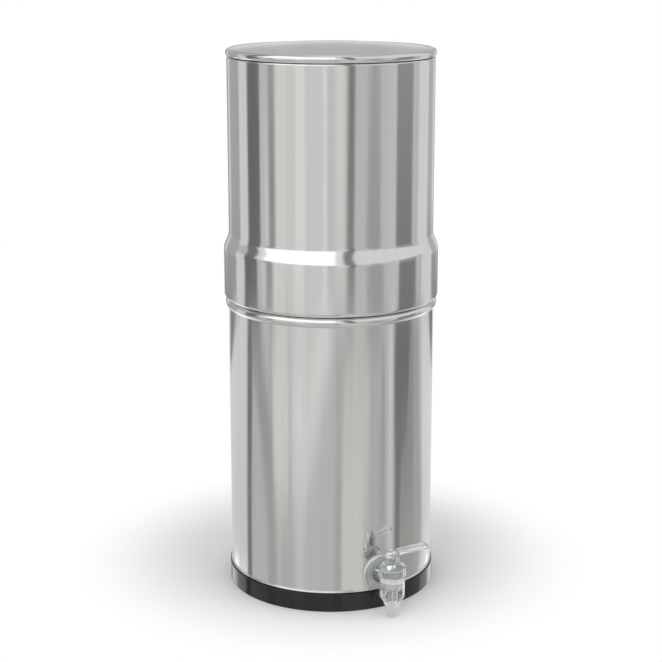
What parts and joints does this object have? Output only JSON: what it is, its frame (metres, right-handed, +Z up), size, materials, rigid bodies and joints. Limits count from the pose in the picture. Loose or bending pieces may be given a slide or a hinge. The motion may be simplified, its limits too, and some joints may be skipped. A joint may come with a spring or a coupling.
{
  "type": "gravity water filter with tap",
  "caption": "Tall gravity water filter: a steel upper chamber with ceramic candles stands on a steel lower chamber with a black base ring and a clear lever tap.",
  "frame": {"origin": "middle of the base ring's underside, on the surface that the filter stands on", "axes": "+Z up along the axis of both chambers; the tap points along -Y and its lever rests towards +X"},
  "size_m": [0.2178, 0.2547, 0.56],
  "materials": {
    "polished_steel": "polished stainless sheet with soft vertical reflections",
    "inner_steel": "satin stainless sheet",
    "pin_steel": "bright round wire",
    "black_rubber": "satin black, softly reflective",
    "clear_plastic": "clear moulded plastic, glossy, faintly smoky",
    "white_silicone": "translucent white silicone, matt",
    "white_plastic": "off-white moulded plastic",
    "ceramic": "porous cream ceramic, matt and slightly grainy",
    "carbon": "pressed black carbon"
  },
  "bodies": {
    "base": {"base_ring": "black_rubber", "lower_chamber_shell": "polished_steel", "lower_chamber_floor": "inner_steel", "tap_body": "clear_plastic", "tap_outer_washer": "white_silicone", "tap_inner_washer": "white_silicone", "tap_shank_nut": "white_plastic", "tap_bonnet": "clear_plastic", "seat_cup": "white_silicone"},
    "swivel": {"swivel_collar": "clear_plastic"},
    "stem": {"tap_stem": "white_plastic", "lever_pin": "pin_steel"},
    "lever": {"tap_lever": "clear_plastic"},
    "upper_chamber": {"upper_chamber_shell": "polished_steel", "upper_chamber_floor": "inner_steel", "candle_shell_left": "ceramic", "candle_shell_right": "ceramic", "candle_core_left": "carbon", "candle_core_right": "carbon", "candle_base_left": "white_plastic", "candle_base_right": "white_plastic", "candle_seal_left": "white_silicone", "candle_seal_right": "white_silicone", "candle_wing_nut_left": "white_plastic", "candle_wing_nut_right": "white_plastic", "blanking_plug_front": "white_plastic", "blanking_plug_back": "white_plastic", "plug_seal_front": "white_silicone", "plug_seal_back": "white_silicone", "plug_wing_nut_front": "white_plastic", "plug_wing_nut_back": "white_plastic"},
    "lid": {"lid": "polished_steel"}
  },
  "joints": [
    {"name": "upper_chamber_lift", "type": "slide", "parent": "base", "child": "upper_chamber", "axis": [0, 0, 1], "range_m": [0, 0.15]},
    {"name": "lid_lift", "type": "slide", "parent": "upper_chamber", "child": "lid", "axis": [0, 0, 1], "range_m": [0, 0.15]},
    {"name": "lever_swivel", "type": "hinge", "parent": "base", "child": "swivel", "pos_m": [0, -0.132, 0.06], "axis": [0, 0, 1], "range_deg": [-180, 0]},
    {"name": "stem_lift", "type": "slide", "parent": "swivel", "child": "stem", "axis": [0, 0, 1], "range_m": [0, 0.0035], "deforming": ["seat_cup"]},
    {"name": "lever_tilt", "type": "hinge", "parent": "stem", "child": "lever", "pos_m": [0, -0.132, 0.06705], "axis": [0, 1, 0], "range_deg": [0, 28], "stiffness_Nm_per_rad": 0.05, "springref_deg": -11.46}
  ],
  "couplings": [
    {"joint": "stem_lift", "follows": "lever_tilt", "m_per_rad": 0.007}
  ]
}
